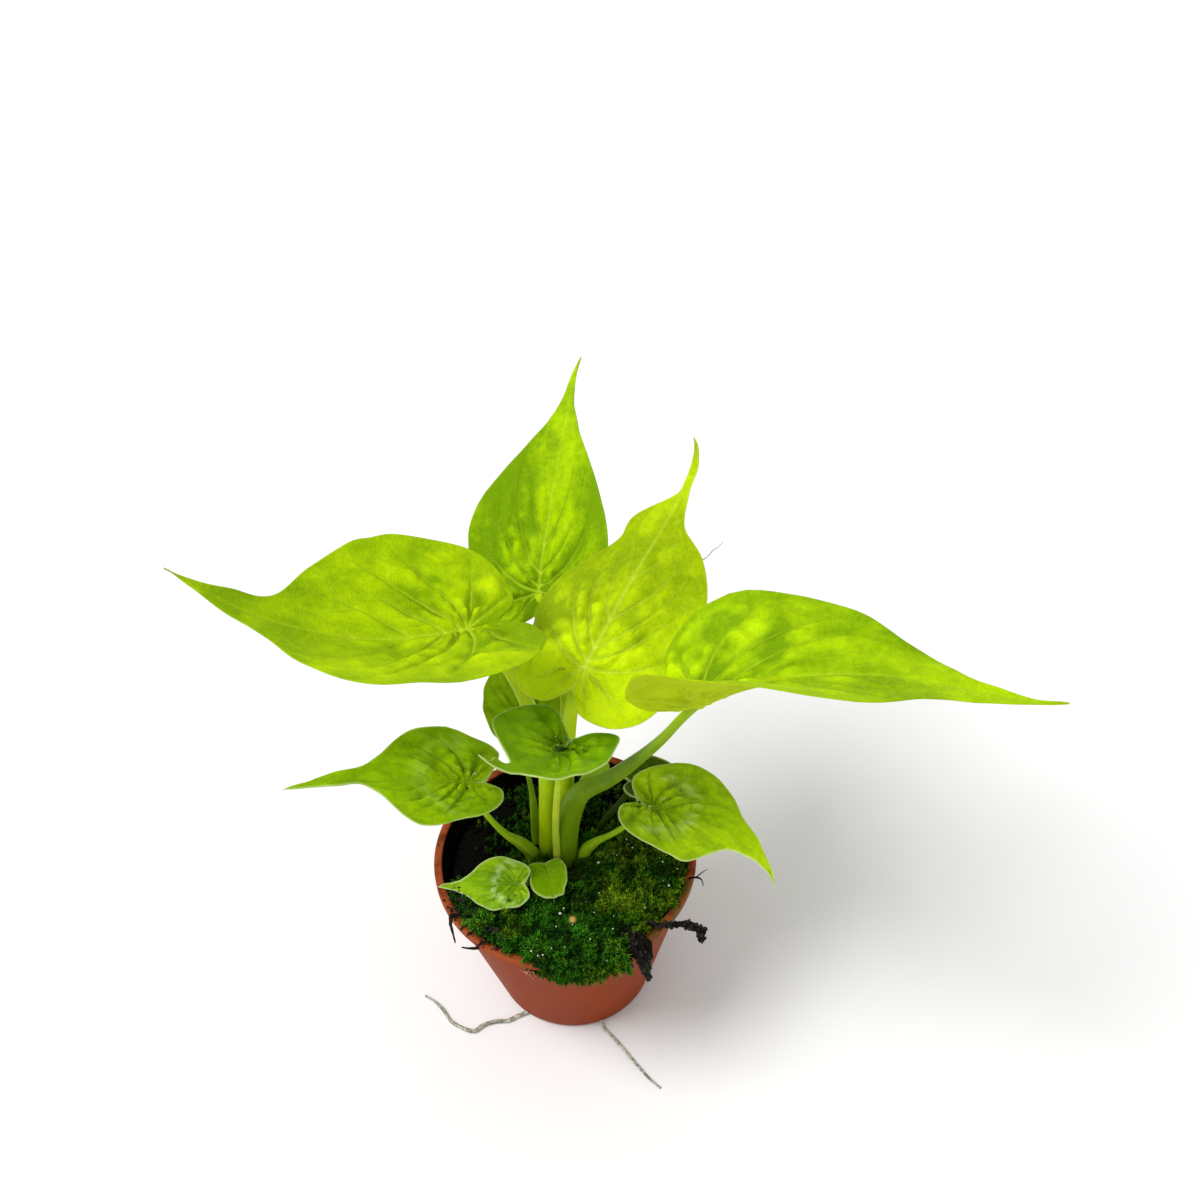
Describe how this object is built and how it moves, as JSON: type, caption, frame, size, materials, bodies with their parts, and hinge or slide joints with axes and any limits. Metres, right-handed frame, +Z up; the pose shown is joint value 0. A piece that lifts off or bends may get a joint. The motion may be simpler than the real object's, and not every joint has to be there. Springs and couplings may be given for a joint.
{
  "type": "potted golden chinese taro",
  "caption": "Young golden Chinese taro: hooded heart-shaped leaves with drip tips on sheathed stalks, in a small tapered nursery pot of mossy soil.",
  "frame": {"origin": "centre of the flat face under the pot, on the ground", "axes": "+Z up, +X to the viewer's right and +Y away from the viewer as the picture sees the plant"},
  "size_m": [0.1746, 0.1121, 0.1449],
  "materials": {
    "pot": "thin moulded terracotta-coloured plastic, dull, a little stained",
    "soil": "damp dark potting mix",
    "moss": "dense short live moss",
    "stem": "dull young stem",
    "root": "dry grey root skin",
    "dark_root": "dry black root skin",
    "golden_blade": "satin yellow-green leaf with paler veins",
    "green_blade": "satin green leaf",
    "stalk": "satin green leaf stalk"
  },
  "bodies": {
    "root": {"pot": "pot", "soil": "soil", "moss": "moss", "stem": "stem", "root_ground_left": "root", "root_ground_front": "root", "root_rim_right": "dark_root", "root_rim_front": "dark_root", "blade_left": "golden_blade", "blade_back": "golden_blade", "blade_centre": "golden_blade", "blade_right": "golden_blade", "blade_low": "green_blade", "blade_shaded": "green_blade", "blade_small_left": "green_blade", "blade_small_right": "green_blade", "blade_small_back": "green_blade", "blade_front": "green_blade", "blade_round": "green_blade", "stalk_left": "stalk", "stalk_back": "stalk", "stalk_centre": "stalk", "stalk_right": "stalk", "stalk_low": "stalk", "stalk_shaded": "stalk", "stalk_small_left": "stalk", "stalk_small_right": "stalk", "stalk_small_back": "stalk", "stalk_front": "stalk", "stalk_round": "stalk"}
  },
  "joints": []
}
